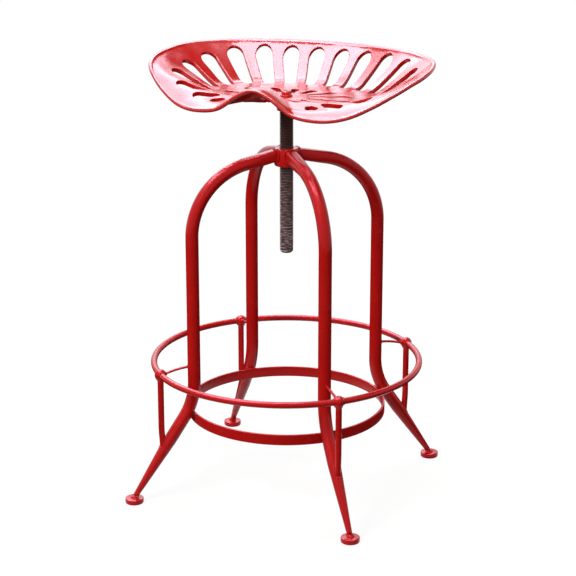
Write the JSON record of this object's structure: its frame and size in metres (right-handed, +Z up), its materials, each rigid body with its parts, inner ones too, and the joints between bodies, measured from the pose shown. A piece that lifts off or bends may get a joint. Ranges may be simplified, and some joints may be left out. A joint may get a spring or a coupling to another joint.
{
  "type": "tractor seat stool",
  "caption": "Adjustable stool: a slotted, dished tractor seat pan on a threaded post that winds through a hub on swept legs, with a round footrest ring and a lower tie band.",
  "frame": {"origin": "on the floor, under the axis of the threaded post and midway between the four feet", "axes": "+Z up along the threaded post, -Y towards the front of the stool, +X to the right as seen from the front, with one leg on each diagonal"},
  "size_m": [0.455, 0.43, 0.6867],
  "materials": {
    "seat_enamel": "glossy red enamel over cast iron",
    "frame_enamel": "glossy red enamel over welded steel",
    "post_steel": "dark oiled machined steel"
  },
  "bodies": {
    "frame": {"hub": "frame_enamel", "footrest_ring": "frame_enamel", "lower_band": "frame_enamel", "foot_rear_right": "frame_enamel", "leg_rear_right": "frame_enamel", "strut_rear_right": "frame_enamel", "ring_eye_rear_right": "frame_enamel", "stay_rod_rear_right": "frame_enamel", "foot_rear_left": "frame_enamel", "leg_rear_left": "frame_enamel", "strut_rear_left": "frame_enamel", "ring_eye_rear_left": "frame_enamel", "stay_rod_rear_left": "frame_enamel", "foot_front_left": "frame_enamel", "leg_front_left": "frame_enamel", "strut_front_left": "frame_enamel", "ring_eye_front_left": "frame_enamel", "stay_rod_front_left": "frame_enamel", "foot_front_right": "frame_enamel", "leg_front_right": "frame_enamel", "strut_front_right": "frame_enamel", "ring_eye_front_right": "frame_enamel", "stay_rod_front_right": "frame_enamel"},
    "post": {"threaded_post": "post_steel"},
    "seat": {"seat_pan": "seat_enamel", "seat_boss": "seat_enamel", "seat_bolt": "frame_enamel", "seat_washer": "frame_enamel"}
  },
  "joints": [
    {"name": "rise", "type": "slide", "parent": "frame", "child": "post", "axis": [0, 0, 1], "range_m": [-0.05, 0.11]},
    {"name": "turn", "type": "hinge", "parent": "post", "child": "seat", "pos_m": [0, 0, 0.6], "axis": [0, 0, 1], "range_deg": [-7200, 15840]}
  ],
  "couplings": [
    {"joint": "rise", "follows": "turn", "m_per_rad": 0.00039789}
  ]
}
